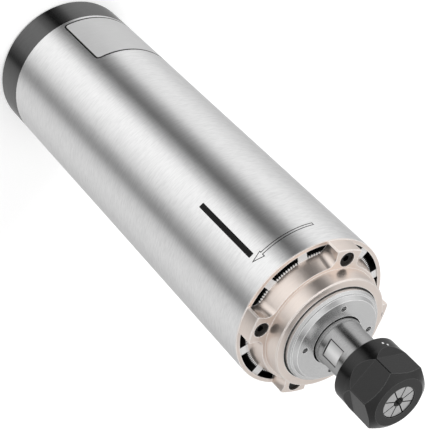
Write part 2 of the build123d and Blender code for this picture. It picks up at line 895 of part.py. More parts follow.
# Collet: cone head, extraction groove, long taper, and slots from both ends
with BuildPart() as collet:
    head_cone = (collet_head_radius - collet_front_radius) / math.tan(math.radians(nut_cone_half_angle))
    rear_radius = collet_radius - taper_slope * (collet_length - collet_taper_start)
    slot_reach = collet_radius + 2 * overcut
    revolve(
        turned(
            (collet_bore, collet_face),
            (collet_front_radius, collet_face),
            (collet_head_radius, collet_face - head_cone),
            (collet_head_radius, collet_face - collet_head),
            (collet_groove_radius, collet_face - collet_head),
            (collet_groove_radius, collet_face - collet_groove_end),
            (collet_radius, collet_face - collet_taper_start + collet_groove_slope),
            (collet_radius, collet_face - collet_taper_start),
            (rear_radius, collet_face - collet_length),
            (collet_relief, collet_face - collet_length),
            (collet_relief, collet_face - collet_grip),
            (collet_bore, collet_face - collet_grip),
        ),
        axis=Axis.Z,
    )
    with BuildSketch(Plane.XY.offset(collet_face)):
        with PolarLocations(slot_reach / 2, collet_slots, start_angle=collet_slot_angle):
            Rectangle(slot_reach, collet_slot)
    extrude(amount=-collet_front_slot_depth, mode=Mode.SUBTRACT)
    half_step = 180 / collet_slots
    with BuildSketch(Plane.XY.offset(collet_face - collet_length)):
        with PolarLocations(slot_reach / 2, collet_slots, start_angle=collet_slot_angle + half_step):
            Rectangle(slot_reach, collet_slot)
    extrude(amount=collet_length - collet_rear_slot_stop, mode=Mode.SUBTRACT)
collet.part.label = "collet"

# Collet nut: round collar, six milled flats with run-outs, cone front, extraction lip
with BuildPart() as flat_cutter:
    flat_radius = nut_across_flats / 2
    cutter_radius = nut_corner_radius + overcut
    runout_slope = nut_runout / (nut_collar_radius - flat_radius)
    with BuildSketch(Plane.XZ):
        with BuildLine():
            Polyline(
                (flat_radius, nut_flat_start),
                (flat_radius, nut_front + overcut),
                (cutter_radius, nut_front + overcut),
                (cutter_radius, nut_flat_start - runout_slope * (cutter_radius - flat_radius)),
                close=True,
            )
        make_face()
    extrude(amount=nut_corner_radius, both=True)

with BuildPart() as collet_nut:
    thread_bore = nose_thread_radius + running
    relief_step = nut_relief_radius - thread_bore
    revolve(
        turned(
            (thread_bore, nut_rear),
            (nut_collar_radius - nut_rear_chamfer, nut_rear),
            (nut_collar_radius, nut_rear + nut_rear_chamfer),
            (nut_collar_radius, nut_flat_start - nut_runout),
            (nut_corner_radius, nut_flat_start),
            (nut_corner_radius, nut_shoulder),
            (nut_face_radius, nut_front),
            (nut_mouth_radius, nut_front),
            (nut_mouth_radius, collet_face),
            (collet_head_radius + end_play, collet_face - head_cone - end_play),
            (collet_head_radius + end_play, collet_face - nut_lip_high),
            (nut_lip_radius, collet_face - nut_lip_high),
            (nut_lip_radius, collet_face - nut_lip_low),
            (nut_chamber_radius, collet_face - nut_chamber_depth),
            (nut_chamber_radius, shaft_nose + end_play),
            (nut_relief_radius, shaft_nose + end_play),
            (nut_relief_radius, collet_face - nut_relief_depth),
            (thread_bore, collet_face - nut_relief_depth - relief_step),
        ),
        axis=Axis.Z,
    )
    with PolarLocations(0, hexagon_sides, start_angle=nut_flat_angle):
        add(flat_cutter.part, mode=Mode.SUBTRACT)
collet_nut.part.label = "collet_nut"

pieces = (
    rear_cap,
    power_socket_shell,
    power_socket_insert,
    power_socket_contacts,
    power_socket_nut,
    rear_cap_screws,
    housing_shell,
    rear_bearing_housing,
    rear_outer_races,
    rear_inner_races,
    rear_ball_cage,
    preload_spring,
    cooling_core,
    stator_core,
    stator_windings,
    motor_leads,
    front_flange,
    flange_screws,
    front_outer_races,
    front_inner_races,
    front_ball_cage,
    outer_spacer,
    inner_spacer,
    bearing_cap,
    cap_seal,
    spindle_shaft,
    dust_slinger,
    shaft_lock_nut,
    rotor_core,
    rotor_end_rings,
    cooling_fan,
    fan_screw,
    collet,
    collet_nut,
)
for piece in pieces:
    export_step(piece.part, f"parts/{piece.part.label}.step")
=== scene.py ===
# %% [markdown]
# # A router spindle, dressed for its picture
# The solids come from the CAD frame and keep their size and place. This notebook gives every one
# of them a finish, adds the thin things that CAD leaves out, such as the thread on the nose and the
# plate on the tube, and lights the spindle like a catalogue picture: white floor, soft lamps, and
# long grey and white streaks mirrored in the metal.

# %% Load the frame
import json
import math

import bmesh
import bpy
from mathutils import Matrix, Vector


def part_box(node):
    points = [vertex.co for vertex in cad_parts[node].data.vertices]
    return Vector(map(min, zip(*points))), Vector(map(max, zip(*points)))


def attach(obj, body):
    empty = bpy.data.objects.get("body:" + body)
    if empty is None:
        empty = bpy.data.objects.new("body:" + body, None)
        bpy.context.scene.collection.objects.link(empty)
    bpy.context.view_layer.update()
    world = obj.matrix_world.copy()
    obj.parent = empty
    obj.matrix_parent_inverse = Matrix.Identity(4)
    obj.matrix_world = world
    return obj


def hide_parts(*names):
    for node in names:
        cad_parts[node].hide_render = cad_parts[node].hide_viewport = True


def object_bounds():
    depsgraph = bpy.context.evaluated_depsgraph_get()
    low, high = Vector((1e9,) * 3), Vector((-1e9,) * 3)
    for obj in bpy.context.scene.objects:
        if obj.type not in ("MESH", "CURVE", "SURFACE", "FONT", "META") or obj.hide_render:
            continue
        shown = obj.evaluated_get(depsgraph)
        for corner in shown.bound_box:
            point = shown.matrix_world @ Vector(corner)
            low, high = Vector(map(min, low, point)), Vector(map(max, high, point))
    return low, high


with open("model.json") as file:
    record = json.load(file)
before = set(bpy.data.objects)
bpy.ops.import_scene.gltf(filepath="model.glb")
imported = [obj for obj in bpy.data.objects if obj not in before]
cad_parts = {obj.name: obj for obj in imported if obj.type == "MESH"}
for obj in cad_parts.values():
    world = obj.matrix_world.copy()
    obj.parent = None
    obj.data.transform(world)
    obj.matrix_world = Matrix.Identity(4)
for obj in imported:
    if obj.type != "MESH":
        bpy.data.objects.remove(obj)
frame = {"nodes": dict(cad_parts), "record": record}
nodes = frame["nodes"]
cad_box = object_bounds()
MM = 0.001
print("CAD box, mm:", [round(v / MM, 1) for corner in cad_box for v in corner])

# %% [markdown]
# ## Camera
# The picture was taken from above the nose with a long lens, so the far end of the tube is hardly
# smaller than the near end. The camera is placed by a fit of the CAD edges to the picture, written
# here as a place, the direction to its right and the direction back from its lens. Two directions
# are enough: the third is square to both.

# %% Camera
LENS = 112.62
SENSOR_WIDTH = 36
CLIP = (0.01, 50)
CAMERA_PLACE = Vector((0.07579, -0.49524, 0.59545))
CAMERA_RIGHT = Vector((-0.77325, 0.34750, 0.53041))
CAMERA_BACK = Vector((0.11469, -0.74603, 0.65597))


def placed(name, data):
    """A new object in the scene."""
    thing = bpy.data.objects.new(name, data)
    bpy.context.scene.collection.objects.link(thing)
    return thing


def aimed_camera(place, right, back):
    camera = placed("camera", bpy.data.cameras.new("camera"))
    back = back.normalized()
    up = back.cross(right).normalized()
    turn = Matrix((up.cross(back), up, back)).transposed().to_4x4()
    camera.matrix_world = Matrix.Translation(place) @ turn
    camera.data.sensor_width = SENSOR_WIDTH
    camera.data.lens = LENS
    camera.data.clip_start, camera.data.clip_end = CLIP
    return camera


bpy.context.scene.camera = aimed_camera(CAMERA_PLACE, CAMERA_RIGHT, CAMERA_BACK)
print("camera looks down", round(math.degrees(math.asin(CAMERA_BACK.z))), "degrees")

# %% [markdown]
# ## A short way to write shader nodes
# A material is a graph of nodes. One helper adds a node and fills its inputs: a value is typed in,
# and another node's output is linked. It keeps every graph below down to a few readable lines.

# %% Node helpers


def feed(tree, socket, value):
    """Links another node's output to a socket, or types a plain value into it."""
    if isinstance(value, bpy.types.NodeSocket):
        tree.links.new(value, socket)
    else:
        socket.default_value = value


def put(tree, kind, inputs=None, **settings):
    """Adds a node, sets its settings and fills its inputs."""
    node = tree.nodes.new(kind)
    for name, value in settings.items():
        setattr(node, name, value)
    for key, value in (inputs or {}).items():
        feed(tree, node.inputs[key], value)
    return node


def compute(tree, operation, *values, clamp=False):
    node = put(tree, "ShaderNodeMath", dict(enumerate(values)), operation=operation, use_clamp=clamp)
    return node.outputs[0]


def product(tree, first, second):
    return compute(tree, "MULTIPLY", first, second)


print("helpers that add nodes: put, compute, product")

# %% [markdown]
# Three more helpers turn numbers into looks. The first maps one range on to another and holds the
# ends, and the others blend two numbers or two colours. The Mix node has a pair of inputs for each
# kind of value: numbers are its inputs 2 and 3, colours its inputs 6 and 7.

# %% Range and blend helpers


def spread(tree, value, low=0.0, high=1.0, start=0.0, full=1.0):
    """Maps start to full on to low to high."""
    return put(tree, "ShaderNodeMapRange", {
        "Value": value, "From Min": start, "From Max": full, "To Min": low, "To Max": high,
    }).outputs[0]


def blended(tree, factor, first, second):
    return put(tree, "ShaderNodeMix", {0: factor, 2: first, 3: second}).outputs[0]


def mixed(tree, factor, first, second):
    return put(tree, "ShaderNodeMix", {0: factor, 6: first, 7: second}, data_type="RGBA").outputs[2]


def grey(level):
    return (level, level, level, 1.0)


print("middle grey:", grey(0.5))

# %% [markdown]
# ## Finishes that several metals share
# An effect that many materials use is a node group, built once, with named inputs. This helper
# makes an empty group with its sockets.

# %% Group helper


def group_tree(name, inputs, outputs):
    """A shader node group with named sockets; inputs maps a name to its default number."""
    tree = bpy.data.node_groups.new(name, "ShaderNodeTree")
    for socket, value in inputs.items():
        added = tree.interface.new_socket(socket, in_out="INPUT", socket_type="NodeSocketFloat")
        added.default_value = value
    for socket in outputs:
        tree.interface.new_socket(socket, in_out="OUTPUT", socket_type="NodeSocketFloat")
    return tree, tree.nodes.new("NodeGroupInput"), tree.nodes.new("NodeGroupOutput")


def object_place(tree):
    """Where a point lies in the object's own coordinates, in metres."""
    return put(tree, "ShaderNodeTexCoord").outputs["Object"]


def distance(tree, x, y):
    return compute(tree, "SQRT", compute(tree, "ADD", product(tree, x, x), product(tree, y, y)))


print("groups so far:", len(bpy.data.node_groups))

# %% [markdown]
# Nearly every piece here was turned on a lathe, and the tool leaves fine rings round the axis. On a
# wall the rings follow the height, on a face they follow the distance from the axis, so one noise
# that reads the sum of both makes them everywhere. The distance counts a little more, or the sum
# would stand still on a 45 degree cone. Round the axis the noise changes slowly, which breaks the
# rings up, and its rare extremes are cut off, so that no single ring stands out.

# %% Turned rings
FACE_SHARE = 1.37
AXIS_ROOM = 0.1 * MM
RING_DETAIL = 2.0
RING_START, RING_FULL = 0.3, 0.7


def turned_rings():
    tree, given, result = group_tree("turned_rings", {"Lines per mm": 4.0, "Breaks": 6.0}, ["Tone"])
    x, y, z = put(tree, "ShaderNodeSeparateXYZ", {0: object_place(tree)}).outputs
    radius = distance(tree, x, y)
    safe = compute(tree, "MAXIMUM", radius, AXIS_ROOM)
    climb = compute(tree, "ADD", z, product(tree, radius, FACE_SHARE))
    breaks = given.outputs["Breaks"]
    where = put(tree, "ShaderNodeCombineXYZ", {
        "X": product(tree, compute(tree, "DIVIDE", x, safe), breaks),
        "Y": product(tree, compute(tree, "DIVIDE", y, safe), breaks),
        "Z": product(tree, climb, compute(tree, "DIVIDE", given.outputs["Lines per mm"], MM)),
    })
    noise = put(tree, "ShaderNodeTexNoise", {
        "Vector": where.outputs[0], "Scale": 1.0, "Detail": RING_DETAIL,
    })
    tone = spread(tree, noise.outputs[0], start=RING_START, full=RING_FULL)
    tree.links.new(tone, result.inputs["Tone"])
    return tree


RINGS = turned_rings()
print("group:", RINGS.name)

# %% [markdown]
# Sharp corners of a real piece are broken by a small chamfer that catches the light, and here a painted
# highlight along them stands in for that light.
# The Bevel node looks round a corner and returns a rounded normal. Where that differs from the true
# normal there is an edge, so the difference is a mask for the bright line along it. The mottle is
# plain noise of a given size, for what changes slowly over a piece, and for the grain of plastic.

# %% Edges and mottle
BEVEL_SAMPLES = 6
MOTTLE_DETAIL = 3.0


# A mask for the painted highlight along the edges.
def painted_edge_highlights():
    tree, given, result = group_tree("painted_edge_highlights", {"Width": 0.3 * MM, "Reach": 4.0}, ["Edge"])
    rounded = put(tree, "ShaderNodeBevel", {"Radius": given.outputs["Width"]}, samples=BEVEL_SAMPLES)
    true = put(tree, "ShaderNodeNewGeometry").outputs["Normal"]
    match = put(tree, "ShaderNodeVectorMath", {0: rounded.outputs[0], 1: true}, operation="DOT_PRODUCT")
    bent = compute(tree, "SUBTRACT", 1.0, match.outputs["Value"])
    edge = compute(tree, "MULTIPLY", bent, given.outputs["Reach"], clamp=True)
    tree.links.new(edge, result.inputs["Edge"])
    return tree


def mottle():
    tree, given, result = group_tree("mottle", {"Size mm": 6.0}, ["Tone"])
    scale = compute(tree, "DIVIDE", 1 / MM, given.outputs["Size mm"])
    noise = put(tree, "ShaderNodeTexNoise", {
        "Vector": object_place(tree), "Scale": scale, "Detail": MOTTLE_DETAIL,
    })
    tree.links.new(noise.outputs[0], result.inputs["Tone"])
    return tree


EDGE_HIGHLIGHTS = painted_edge_highlights()
MOTTLE = mottle()
print("groups:", EDGE_HIGHLIGHTS.name, MOTTLE.name)

# %% [markdown]
# Some pieces have two finishes on one body, and some carry painted shade: the tube is painted near black
# inside and the cooling core near black behind its machined front and on its fins, as shade in these
# hollows, and the flats on the shaft are milled, with a painted shadow round them. One group gives what
# these patches are cut out by, all in mm: the distance from the axis, the height, the distance out towards
# the flats, the distance across them, and the distance from the nearest rib of the core.

# %% Where a point lies
FLAT_TURN = math.radians(-51.5)
RIB_STEP = 30.0


def place_in_mm():
    names = ["Radius", "Height", "Out of flat", "Along flat", "Off rib"]
    tree, _, result = group_tree("place_in_mm", {}, names)
    axes = put(tree, "ShaderNodeSeparateXYZ", {0: object_place(tree)})
    x, y, height = (compute(tree, "DIVIDE", axis, MM) for axis in axes.outputs)
    radius = distance(tree, x, y)
    cosine, sine = math.cos(FLAT_TURN), math.sin(FLAT_TURN)
    out = compute(tree, "ADD", product(tree, x, cosine), product(tree, y, sine))
    beside = compute(tree, "SUBTRACT", product(tree, y, cosine), product(tree, x, sine))
    turn = compute(tree, "DEGREES", compute(tree, "ARCTAN2", y, x))
    off_rib = compute(tree, "PINGPONG", compute(tree, "SUBTRACT", turn, RIB_STEP / 2), RIB_STEP / 2)
    round_the_axis = product(tree, compute(tree, "RADIANS", off_rib), radius)
    across = [compute(tree, "ABSOLUTE", value) for value in (out, beside)]
    for name, value in zip(names, (radius, height, *across, round_the_axis)):
        tree.links.new(value, result.inputs[name])
    return tree


PLACE = place_in_mm()
print("group:", PLACE.name)

# %% [markdown]
# ## Metals
# One recipe makes them all: a colour, a second colour painted along the edges as a highlight, turned rings
# that change the tone and raise a faint bump, and a slow mottle in the tone and the roughness. The rings
# leave the roughness alone, because fine lines in it break into dark specks. Brushed and turned metal
# mirrors a lamp as a streak across its rings, which is what the Anisotropic setting does: the tangent runs
# round the axis, and a quarter turn of it lays the streak along the axis.

# %% Parts of the metal recipe
SLOW_SIZE = 9.0
TONE_DRIFT = 0.04
BRIGHTEST = (0.99, 0.99, 0.99)


def blank_material(name):
    material = bpy.data.materials.new(name)
    material.use_nodes = True
    return material, material.node_tree, material.node_tree.nodes["Principled BSDF"]


def grouped(tree, group, **values):
    """Places a group in a material, gives it its own values and returns its first output."""
    node = put(tree, "ShaderNodeGroup", node_tree=group)
    for name, value in values.items():
        node.inputs[name.replace("_", " ")].default_value = value
    return node.outputs[0]


def scaled(tree, colour, factor):
    return put(tree, "ShaderNodeVectorMath", {0: colour[:3], "Scale": factor}, operation="SCALE").outputs[0]


def turned_colour(tree, colour, rings, slow, ring_tone):
    """The colour, lighter and darker by the rings and the mottle, and never whiter than white."""
    from_rings = spread(tree, rings, 1 - ring_tone, 1 + ring_tone)
    from_mottle = spread(tree, slow, 1 - TONE_DRIFT, 1 + TONE_DRIFT)
    ground = scaled(tree, colour, product(tree, from_rings, from_mottle))
    return put(tree, "ShaderNodeVectorMath", {0: ground, 1: BRIGHTEST}, operation="MINIMUM").outputs[0]


print("brightest metal:", BRIGHTEST[0])

# %% [markdown]
# The recipe itself puts the parts together. A patch is a mask with a colour, a roughness and a
# metallic value of its own, laid over what is there. Lengths are in mm, and lines are per mm.

# %% Metal recipe
ROUGHNESS_DRIFT = 0.03
BUMP_STRENGTH = 0.25
QUARTER_TURN = 0.25


def metal(name, colour, edge_highlight_colour, roughness, streak=0.0, metallic=1.0, lines=4.0, breaks=6.0,
          ring_depth=0.004, ring_tone=0.1, edge_width=0.25, edge_reach=4.0, edge_metallic=None, patches=()):
    """Each patch is (a function that returns its mask, its colour, its roughness, its metallic)."""
    material, tree, shader = blank_material(name)
    rings = grouped(tree, RINGS, Lines_per_mm=lines, Breaks=breaks)
    slow = grouped(tree, MOTTLE, Size_mm=SLOW_SIZE)
    edge = grouped(tree, EDGE_HIGHLIGHTS, Width=edge_width * MM, Reach=edge_reach)
    # Along the edges the colour, and the metallic where edge_metallic is given, change to a painted
    # highlight.
    surface = mixed(tree, edge, turned_colour(tree, colour, rings, slow, ring_tone), edge_highlight_colour)
    rough = spread(tree, slow, roughness - ROUGHNESS_DRIFT, roughness + ROUGHNESS_DRIFT)
    shine = metallic if edge_metallic is None else spread(tree, edge, metallic, edge_metallic)
    for mask_of, patch_colour, patch_roughness, patch_metallic in patches:
        mask = mask_of(tree)
        surface = mixed(tree, mask, surface, patch_colour)
        rough = blended(tree, mask, rough, patch_roughness)
        shine = blended(tree, mask, shine, patch_metallic)
    bump = put(tree, "ShaderNodeBump", {
        "Height": rings, "Strength": BUMP_STRENGTH, "Distance": ring_depth * MM,
    })
    feed(tree, shader.inputs["Base Color"], surface)
    feed(tree, shader.inputs["Roughness"], rough)
    feed(tree, shader.inputs["Metallic"], shine)
    feed(tree, shader.inputs["Normal"], bump.outputs[0])
    if streak:
        shader.inputs["Anisotropic"].default_value = streak
        shader.inputs["Anisotropic Rotation"].default_value = QUARTER_TURN
        tangent = put(tree, "ShaderNodeTangent", direction_type="RADIAL", axis="Z")
        feed(tree, shader.inputs["Tangent"], tangent.outputs[0])
    return material


print("drift of the roughness:", ROUGHNESS_DRIFT)

# %% [markdown]
# The masks of the patches. Each is a range of distances with a soft border, or the product of a
# few, and asks the place group where the point lies. The front of the core comes from the frame.

# %% Patches inside the tube and on the core
SOFT = 0.1
TUBE_SKIN, TUBE_INSIDE = 39.6, 39.3
FIN_ROOTS = 34.6
RIB_HALF = 2.4
CORE_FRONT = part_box("cooling_core")[1][2] / MM
CORE_EDGE, CORE_DEPTH = 0.1, 0.5


def between(tree, output, start, full):
    """Rises from 0 to 1 as one output of the place group goes from start to full, in mm."""
    where = put(tree, "ShaderNodeGroup", node_tree=PLACE)
    return spread(tree, where.outputs[output], start=start, full=full)


# Painted shade: the inside of the tube is painted near black.
def shade_inside_tube(tree):
    return between(tree, "Radius", TUBE_SKIN, TUBE_INSIDE)


# Painted shade: the core goes near black from just behind its machined front.
def shade_deep_in_core(tree):
    return between(tree, "Height", CORE_FRONT - CORE_EDGE, CORE_FRONT - CORE_DEPTH)


def shade_on_outer_fins(tree):
    """The fins beyond their roots, but not the ribs, painted near black as shade."""
    out = between(tree, "Radius", FIN_ROOTS - SOFT, FIN_ROOTS + SOFT)
    return product(tree, out, between(tree, "Off rib", RIB_HALF - SOFT, RIB_HALF + SOFT))


print("front of the core, mm:", round(CORE_FRONT, 2))

# %% [markdown]
# The two flats that the spanner holds are milled into the ground shaft. A dark line round them is a painted
# shadow at their step, and the metal inside it is bright, with painted shade that darkens it towards the
# long edges as a sheen would.

# %% Patches on the flats
SEAT = 241.4
FLAT_OUT = 10.7
FLUSH = 0.05
FLAT_LOW, FLAT_HIGH = SEAT + 26.2, SEAT + 35.6
FLAT_HALF_WIDTH = 4.5
FLAT_MIDDLE = 0.5
FLAT_LINE = 0.45


def flats(tree, margin):
    """The two milled flats, less a margin all round."""
    low, high, half = FLAT_LOW + margin, FLAT_HIGH - margin, FLAT_HALF_WIDTH - margin
    above = between(tree, "Height", low - SOFT, low)
    below = between(tree, "Height", high + SOFT, high)
    wide = between(tree, "Along flat", half, half - SOFT)
    flush = between(tree, "Out of flat", FLAT_OUT + 2 * FLUSH, FLAT_OUT + FLUSH)
    return product(tree, product(tree, above, below), product(tree, wide, flush))


# Painted shadow: the dark line round the flats.
def shadow_round_flats(tree):
    return flats(tree, 0.0)


def milled_flats(tree):
    return flats(tree, FLAT_LINE)


# Painted shade: the flats grow darker towards their long edges.
def shade_on_flat_sides(tree):
    return product(tree, milled_flats(tree), between(tree, "Along flat", FLAT_MIDDLE, FLAT_HALF_WIDTH))


print("flats, mm high:", round(FLAT_HIGH - FLAT_LOW, 1))

# %% [markdown]
# ## Metals one sees
# The tube is brushed round its axis and mirrors long streaks, and inside it is painted near black as shade.
# The rear cap is the same with a black coat. The flange is blasted and anodised a pale champagne, so it
# mirrors no streaks, and a painted highlight makes its machined edges nearly white. The nut is blackened
# steel, and the disc and the shaft are turned and ground bright. The core is painted near black as shade
# behind its front and on its fins.

# %% Outer metals
FINISHES = {
    "shell_steel": metal(
        "brushed_shell", grey(0.95), edge_highlight_colour=grey(0.95), roughness=0.3, streak=0.9, metallic=0.96,
        # The inside of the tube is painted near black as shade.
        lines=1.3, breaks=9.0, ring_tone=0.06, patches=[(shade_inside_tube, grey(0.004), 0.7, 0.0)],
    ),
    "cap_black": metal(
        "black_cap", grey(0.13), edge_highlight_colour=grey(0.5), roughness=0.2, streak=0.75, lines=1.5,
        ring_tone=0.06,
    ),
    "flange_champagne": metal(
        "champagne_flange", (0.92, 0.82, 0.755), edge_highlight_colour=(1.0, 0.98, 0.96, 1.0), roughness=0.3,
        metallic=0.95, lines=2.0, ring_tone=0.02, edge_width=0.5, edge_reach=14.0, edge_metallic=0.1,
    ),
    "disc_steel": metal(
        "turned_disc", grey(0.73), edge_highlight_colour=grey(1.0), roughness=0.26, streak=0.55, metallic=0.97,
        lines=1.6, ring_depth=0.0015, ring_tone=0.02, edge_width=0.4, edge_reach=14.0, edge_metallic=0.1,
    ),
    "shaft_steel": metal(
        "ground_shaft", grey(0.45), edge_highlight_colour=grey(0.9), roughness=0.24, streak=0.7, lines=2.0,
        ring_tone=0.06, edge_metallic=0.3, patches=[
            # A painted shadow round the flats, their bright milled metal, and painted shade towards their
            # long edges.
            (shadow_round_flats, grey(0.02), 0.4, 0.5),
            (milled_flats, grey(1.0), 0.35, 0.2),
            (shade_on_flat_sides, grey(0.6), 0.35, 0.5),
        ],
    ),
    "nut_black": metal(
        "black_nut", grey(0.052), edge_highlight_colour=grey(0.07), roughness=0.22, streak=0.3, metallic=0.95,
        lines=2.0, ring_tone=0.03, edge_width=0.4, edge_reach=20.0, edge_metallic=0.0,
    ),
    "collet_steel": metal(
        "collet_steel", grey(0.6), edge_highlight_colour=grey(0.9), roughness=0.35, metallic=0.95, edge_width=0.12,
    ),
    "screw_black": metal(
        "black_screw", grey(0.02), edge_highlight_colour=grey(0.15), roughness=0.3, metallic=0.9, edge_width=0.15,
    ),
    "core_aluminium": metal(
        "core_aluminium", grey(0.8), edge_highlight_colour=grey(0.9), roughness=0.5, metallic=0.4, patches=[
            # Painted shade: near black behind the core's front and on its fins between the ribs.
            (shade_deep_in_core, grey(0.004), 0.7, 0.0),
            (shade_on_outer_fins, grey(0.002), 0.8, 0.0),
        ],
    ),
}
print("outer metals:", len(FINISHES))

# %% [markdown]
# ## Metals inside
# These show only when the spindle is taken apart: polished bearing races, the stamped sheets of the
# motor with their burrs, the lacquered copper of the windings, and small parts of the inlet.

# %% Inner metals
FINISHES.update({
    "bearing_steel": metal("bearing_steel", grey(0.65), edge_highlight_colour=grey(0.9), roughness=0.12),
    "lamination": metal(
        "lamination", grey(0.3), edge_highlight_colour=grey(0.5), roughness=0.45, lines=2.0, ring_tone=0.3,
    ),
    "copper_wire": metal(
        "copper_wire", (0.75, 0.32, 0.16), edge_highlight_colour=(0.95, 0.55, 0.35, 1.0), roughness=0.3,
        lines=1.2, ring_tone=0.3, ring_depth=0.05,
    ),
    "rotor_aluminium": metal("cast_aluminium", grey(0.66), edge_highlight_colour=grey(0.9), roughness=0.5),
    "socket_metal": metal("plated_socket", grey(0.62), edge_highlight_colour=grey(0.95), roughness=0.25),
    "contact_brass": metal(
        "contact_brass", (0.8, 0.6, 0.28), edge_highlight_colour=(1.0, 0.85, 0.5, 1.0), roughness=0.25,
    ),
    "spring_steel": metal("spring_steel", grey(0.4), edge_highlight_colour=grey(0.8), roughness=0.3),
})
print("metals:", len(FINISHES))

# %% [markdown]
# ## Plastics and rubber
# The moulded pieces are not metal. They have one dark or bright colour, a fine moulded grain and a
# soft sheen, and their corners catch a little light as well.

# %% Plastic recipe
GRAIN_SIZE = 0.4
CLOUD_SIZE = 7.0
GRAIN_DEPTH = 0.01
GRAIN_STRENGTH = 0.15
CLOUD_DRIFT = 0.1
SMOOTHER, ROUGHER = 0.05, 0.08
CORNER_WIDTH, CORNER_REACH = 0.2, 3.0


def plastic(name, colour, edge_highlight_colour, roughness):
    material, tree, shader = blank_material(name)
    grain = grouped(tree, MOTTLE, Size_mm=GRAIN_SIZE)
    clouds = grouped(tree, MOTTLE, Size_mm=CLOUD_SIZE)
    edge = grouped(tree, EDGE_HIGHLIGHTS, Width=CORNER_WIDTH * MM, Reach=CORNER_REACH)
    ground = scaled(tree, colour, spread(tree, clouds, 1 - CLOUD_DRIFT, 1 + CLOUD_DRIFT))
    bump = put(tree, "ShaderNodeBump", {
        "Height": grain, "Strength": GRAIN_STRENGTH, "Distance": GRAIN_DEPTH * MM,
    })
    rough = spread(tree, grain, roughness - SMOOTHER, roughness + ROUGHER)
    # A painted highlight on the corners.
    feed(tree, shader.inputs["Base Color"], mixed(tree, edge, ground, edge_highlight_colour))
    feed(tree, shader.inputs["Roughness"], rough)
    feed(tree, shader.inputs["Normal"], bump.outputs[0])
    return material


FINISHES.update({
    "seal_rubber": plastic("seal_rubber", grey(0.012), grey(0.05), 0.5),
    "cage_resin": plastic("cage_resin", (0.35, 0.22, 0.1), (0.5, 0.35, 0.2, 1.0), 0.4),
    "fan_plastic": plastic("fan_plastic", grey(0.03), grey(0.12), 0.45),
    "socket_plastic": plastic("socket_plastic", grey(0.02), grey(0.1), 0.4),
    "wire_insulation": plastic("wire_insulation", (0.35, 0.03, 0.02), (0.5, 0.1, 0.08, 1.0), 0.4),
})
print("finishes:", len(FINISHES))

# %% [markdown]
# ## Dress the CAD pieces
# The frame says which finish each piece has. A piece whose shape is right stays as it is, and only
# its material changes.

# %% Dress every node
SLOT_OF = {part["node"]: part["material_slot"] for part in frame["record"]["subparts"]}


def dress(piece, finish):
    piece.data.materials.clear()
    piece.data.materials.append(finish)


for name, piece in nodes.items():
    dress(piece, FINISHES[SLOT_OF[name]])
print("dressed:", len(nodes))

# %% [markdown]
# ## Foil plate and prints
# The tube carries a foil plate, a black bar and a turning arrow, all plain, and the nut has two
# dots. Each is drawn flat first, in mm along and up the surface, then given a thickness, cut into
# narrow strips and bent round the axis, so that it follows the surface like a real foil or ink. A
# decal in the material could draw them too, but a thin piece of its own also stays sharp close up.

# %% Bend a flat drawing round the axis
TUBE_RADIUS = 40.0
STRIP = 1.0
MERGE = 0.001


def along(turn, radius=TUBE_RADIUS):
    """Where a compass direction in degrees lies on the unrolled surface, in mm."""
    return math.radians(turn) * radius


def flat_slab(faces, top, thickness):
    """A flat slab from faces of (along, up) points, all in mm; top is how far it stands proud."""
    shape = bmesh.new()
    for face in faces:
        shape.faces.new([shape.verts.new((s, z, 0.0)) for s, z in face])
    bmesh.ops.remove_doubles(shape, verts=shape.verts, dist=MERGE)
    bmesh.ops.solidify(shape, geom=shape.faces[:], thickness=thickness)
    drop = top - max(vert.co.z for vert in shape.verts)
    for vert in shape.verts:
        vert.co.z += drop
    return shape


def bent_slab(name, faces, top, thickness, radius=TUBE_RADIUS):
    shape = flat_slab(faces, top, thickness)
    places = [vert.co.x for vert in shape.verts]
    for step in range(math.ceil(min(places) / STRIP), math.ceil(max(places) / STRIP)):
        everything = shape.verts[:] + shape.edges[:] + shape.faces[:]
        bmesh.ops.bisect_plane(shape, geom=everything, plane_co=(step * STRIP, 0, 0), plane_no=(1, 0, 0))
    for vert in shape.verts:
        turn, up, out = vert.co.x / radius, vert.co.y, radius + vert.co.z
        vert.co = Vector((out * math.cos(turn), out * math.sin(turn), up)) * MM
    bmesh.ops.recalc_face_normals(shape, faces=shape.faces)
    mesh = bpy.data.meshes.new(name)
    shape.to_mesh(mesh)
    shape.free()
    print(name, "faces:", len(mesh.polygons))
    return placed(name, mesh)


print("one degree round the tube, mm:", round(along(1), 3))

# %% [markdown]
# The drawings are loops of points: a rectangle with round corners, and an arrow. A line along a
# loop is the band between it and a smaller copy of it, with the corners mitred.

# %% Loops and lines
SHARPEST_MITRE = 0.3
CORNER_STEPS = 6


def inset(loop, width):
    """The loop moved inwards by width, with mitred corners; loop runs anticlockwise."""
    moved = []
    for before, here, after in zip(loop[-1:] + loop[:-1], loop, loop[1:] + loop[:1]):
        arrive = (Vector(here) - Vector(before)).normalized()
        leave = (Vector(after) - Vector(here)).normalized()
        normal = Vector((-arrive.y - leave.y, arrive.x + leave.x)).normalized()
        reach = width / max(SHARPEST_MITRE, normal.dot(Vector((-arrive.y, arrive.x))))
        moved.append(tuple(Vector(here) + normal * reach))
    return moved


def band(loop, width):
    """Faces of a line of that width, drawn just inside a closed loop."""
    inner = inset(loop, width)
    following = [(i, (i + 1) % len(loop)) for i in range(len(loop))]
    return [(loop[i], loop[after], inner[after], inner[i]) for i, after in following]


def rounded_rectangle(left, right, low, high, corner, steps=CORNER_STEPS):
    loop = []
    for start, s, z in (
        (180, left + corner, low + corner), (270, right - corner, low + corner),
        (0, right - corner, high - corner), (90, left + corner, high - corner),
    ):
        for step in range(steps + 1):
            turn = math.radians(start + 90 * step / steps)
            loop.append((s + corner * math.cos(turn), z + corner * math.sin(turn)))
    return loop


print("points on a rounded rectangle:", len(rounded_rectangle(0, 2, 0, 2, 1)))

